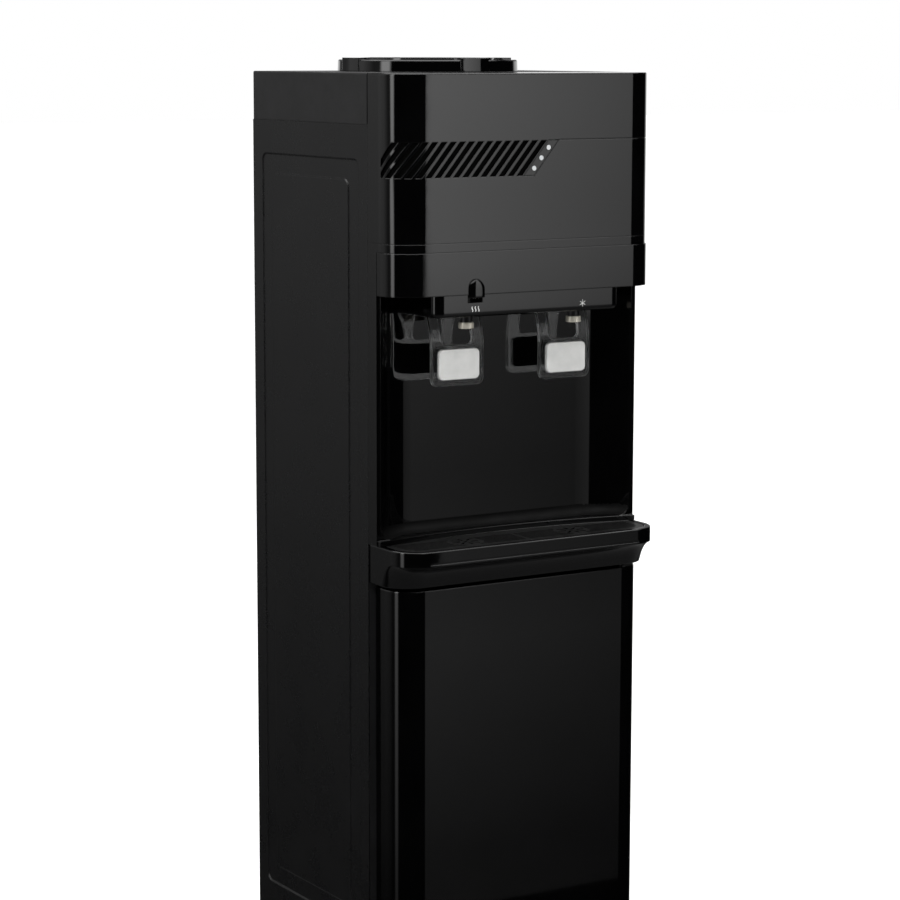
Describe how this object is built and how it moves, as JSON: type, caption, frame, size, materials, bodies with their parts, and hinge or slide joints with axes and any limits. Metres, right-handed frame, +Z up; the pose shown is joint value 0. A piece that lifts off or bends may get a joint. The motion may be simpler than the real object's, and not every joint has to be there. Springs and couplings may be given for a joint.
{
  "type": "top-loading water dispenser",
  "caption": "Tall free-standing water dispenser with a bottle collar on top, two paddle taps over a hollowed bay, a drip tray and a cabinet with a door.",
  "frame": {"origin": "on the floor, midway across and midway between the shelf front and the condenser clips at the back", "axes": "+Z up, -Y towards the front with the taps and door, +X to the user's right when facing the front"},
  "size_m": [0.311, 0.332, 0.979],
  "materials": {
    "gloss_black": "high gloss moulded plastic",
    "black_steel": "satin black powder coat",
    "satin_black": "fine satin moulded plastic",
    "dark_baffle": "matte",
    "clear_plastic": "clear moulded plastic",
    "silver": "fine satin silver",
    "chrome": "bright plate",
    "steel": "brushed",
    "galvanised": "galvanised sheet",
    "lens": "translucent lens",
    "board": "circuit board lacquer",
    "rubber": "moulded rubber",
    "foam": "expanded foam",
    "tube": "translucent silicone tube",
    "white_plastic": "smooth moulded plastic",
    "copper": "drawn copper",
    "compressor_black": "thick black paint",
    "magnet": "magnet strip",
    "switch_red": "gloss",
    "switch_green": "gloss"
  },
  "bodies": {
    "cabinet": {"base_plinth": "satin_black", "feet": "rubber", "side_panel_left": "black_steel", "side_panel_right": "black_steel", "back_panel": "galvanised", "top_cover": "satin_black", "fascia": "gloss_black", "vent_baffle": "dark_baffle", "indicator_panel": "gloss_black", "indicator_lenses": "lens", "indicator_board": "board", "bay_panel": "gloss_black", "apron": "gloss_black", "tap_housing": "gloss_black", "tap_body_hot": "satin_black", "tap_body_cold": "satin_black", "spout_hot": "chrome", "spout_cold": "chrome", "pivot_pins": "steel", "tap_nuts": "white_plastic", "tray_housing": "gloss_black", "strike_plate": "steel", "surround": "satin_black", "cabinet_liner": "white_plastic", "deck": "galvanised", "tank_bridge": "galvanised", "cold_tank": "steel", "cold_foam": "foam", "tank_lid": "white_plastic", "hot_tank": "steel", "hot_foam_jacket": "foam", "water_tubes": "tube", "condenser": "black_steel", "condenser_clips": "satin_black", "compressor": "compressor_black", "compressor_mounts": "rubber", "mount_bolts": "steel", "relay_cover": "satin_black", "refrigerant_pipes": "copper", "filter_drier": "copper", "drain_outlet": "white_plastic", "switch_bezel": "satin_black", "cord_gland": "rubber"},
    "lever_hot": {"lever_hot": "clear_plastic", "lever_pad_hot": "silver"},
    "lever_cold": {"lever_cold": "clear_plastic", "lever_pad_cold": "silver"},
    "plunger_hot": {"valve_plunger_hot": "white_plastic"},
    "plunger_cold": {"valve_plunger_cold": "white_plastic"},
    "child_lock": {"child_lock_button": "gloss_black"},
    "door": {"door": "gloss_black", "door_liner": "satin_black", "door_magnet": "magnet"},
    "drip_tray": {"drip_tray": "satin_black"},
    "drip_grille": {"drip_grille": "gloss_black"},
    "collar": {"bottle_collar": "gloss_black", "water_probe": "white_plastic"},
    "rocker_hot": {"rocker_hot": "switch_red"},
    "rocker_cold": {"rocker_cold": "switch_green"},
    "drain_cap": {"drain_cap": "white_plastic"}
  },
  "joints": [
    {"name": "lever_hot_swing", "type": "hinge", "parent": "cabinet", "child": "lever_hot", "pos_m": [-0.064, -0.105, 0.737], "axis": [1, 0, 0], "range_deg": [0, 15], "stiffness_Nm_per_rad": 0.6, "springref_deg": -8.59},
    {"name": "plunger_hot_pull", "type": "slide", "parent": "cabinet", "child": "plunger_hot", "axis": [0, -1, 0], "range_m": [0, 0.004]},
    {"name": "lever_cold_swing", "type": "hinge", "parent": "cabinet", "child": "lever_cold", "pos_m": [0.064, -0.105, 0.737], "axis": [1, 0, 0], "range_deg": [0, 15], "stiffness_Nm_per_rad": 0.6, "springref_deg": -8.59},
    {"name": "plunger_cold_pull", "type": "slide", "parent": "cabinet", "child": "plunger_cold", "axis": [0, -1, 0], "range_m": [0, 0.004]},
    {"name": "child_lock_press", "type": "slide", "parent": "cabinet", "child": "child_lock", "axis": [0, 1, 0], "range_m": [0, 0.003], "stiffness_N_per_m": 300, "springref_m": -0.003},
    {"name": "door_swing", "type": "hinge", "parent": "cabinet", "child": "door", "pos_m": [0.141, -0.108, 0.25], "axis": [0, 0, 1], "range_deg": [0, 110]},
    {"name": "drip_tray_lift", "type": "slide", "parent": "cabinet", "child": "drip_tray", "axis": [0, 0, 1], "range_m": [0, 0.06]},
    {"name": "drip_grille_lift", "type": "slide", "parent": "drip_tray", "child": "drip_grille", "axis": [0, 0, 1], "range_m": [0, 0.04]},
    {"name": "collar_lift", "type": "slide", "parent": "cabinet", "child": "collar", "axis": [0, 0, 1], "range_m": [0, 0.08]},
    {"name": "rocker_hot_tip", "type": "hinge", "parent": "cabinet", "child": "rocker_hot", "pos_m": [0.065, 0.1448, 0.85], "axis": [-1, 0, 0], "range_deg": [0, 16]},
    {"name": "rocker_cold_tip", "type": "hinge", "parent": "cabinet", "child": "rocker_cold", "pos_m": [0.085, 0.1448, 0.85], "axis": [-1, 0, 0], "range_deg": [0, 16]},
    {"name": "drain_cap_turn", "type": "hinge", "parent": "cabinet", "child": "drain_cap", "pos_m": [-0.084, 0.15, 0.243], "axis": [0, 1, 0], "range_deg": [0, 180]}
  ],
  "couplings": [
    {"joint": "plunger_hot_pull", "follows": "lever_hot_swing", "m_per_rad": 0.013},
    {"joint": "plunger_cold_pull", "follows": "lever_cold_swing", "m_per_rad": 0.013}
  ]
}
